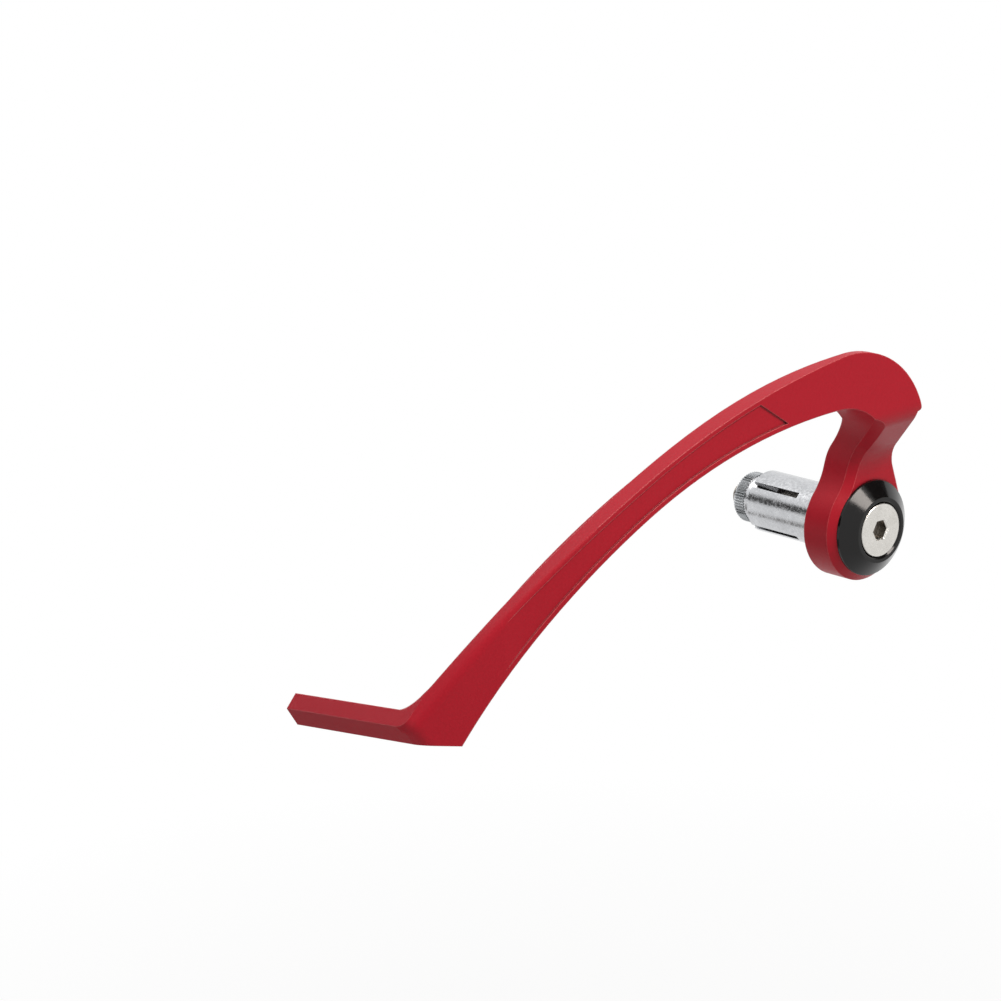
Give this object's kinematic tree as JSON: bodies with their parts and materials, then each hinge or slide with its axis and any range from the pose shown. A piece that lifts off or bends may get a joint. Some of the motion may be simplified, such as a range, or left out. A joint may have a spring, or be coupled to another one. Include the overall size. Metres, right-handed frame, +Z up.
{
  "type": "bar-end lever guard",
  "caption": "Bow-shaped lever guard for a motorcycle bar end, moulded with a hooked nose and held by a countersunk bolt, cap washer, expanding slotted sleeve and taper nut.",
  "frame": {"origin": "on the clamp bolt's axis, where the end of the handlebar tube meets the sleeve's shoulder", "axes": "+X outward along the bolt, away from the handlebar; -Y forward along the bow; +Z up"},
  "size_m": [0.0807, 0.1806, 0.0971],
  "materials": {
    "guard": "satin red moulding",
    "cap": "gloss black anodised",
    "bolt": "pale nickel plate",
    "sleeve": "bright zinc plate, turned",
    "nut": "bright zinc plate, straight knurled"
  },
  "bodies": {
    "spigot": {"expander_sleeve": "sleeve"},
    "guard": {"guard_bow": "guard", "cap_washer": "cap"},
    "bolt": {"clamp_bolt": "bolt"},
    "nut": {"taper_nut": "nut"}
  },
  "joints": [
    {"name": "guard_swivel", "type": "hinge", "parent": "spigot", "child": "guard", "pos_m": [0, 0, 0], "axis": [1, 0, 0], "continuous": true},
    {"name": "bolt_turn", "type": "hinge", "parent": "spigot", "child": "bolt", "pos_m": [0, 0, 0], "axis": [-1, 0, 0], "range_deg": [-720, 432]},
    {"name": "nut_travel", "type": "slide", "parent": "spigot", "child": "nut", "axis": [1, 0, 0], "range_m": [-0.0025, 0.0015]}
  ],
  "couplings": [
    {"joint": "bolt_turn", "follows": "nut_travel", "rad_per_m": 5026.5}
  ]
}
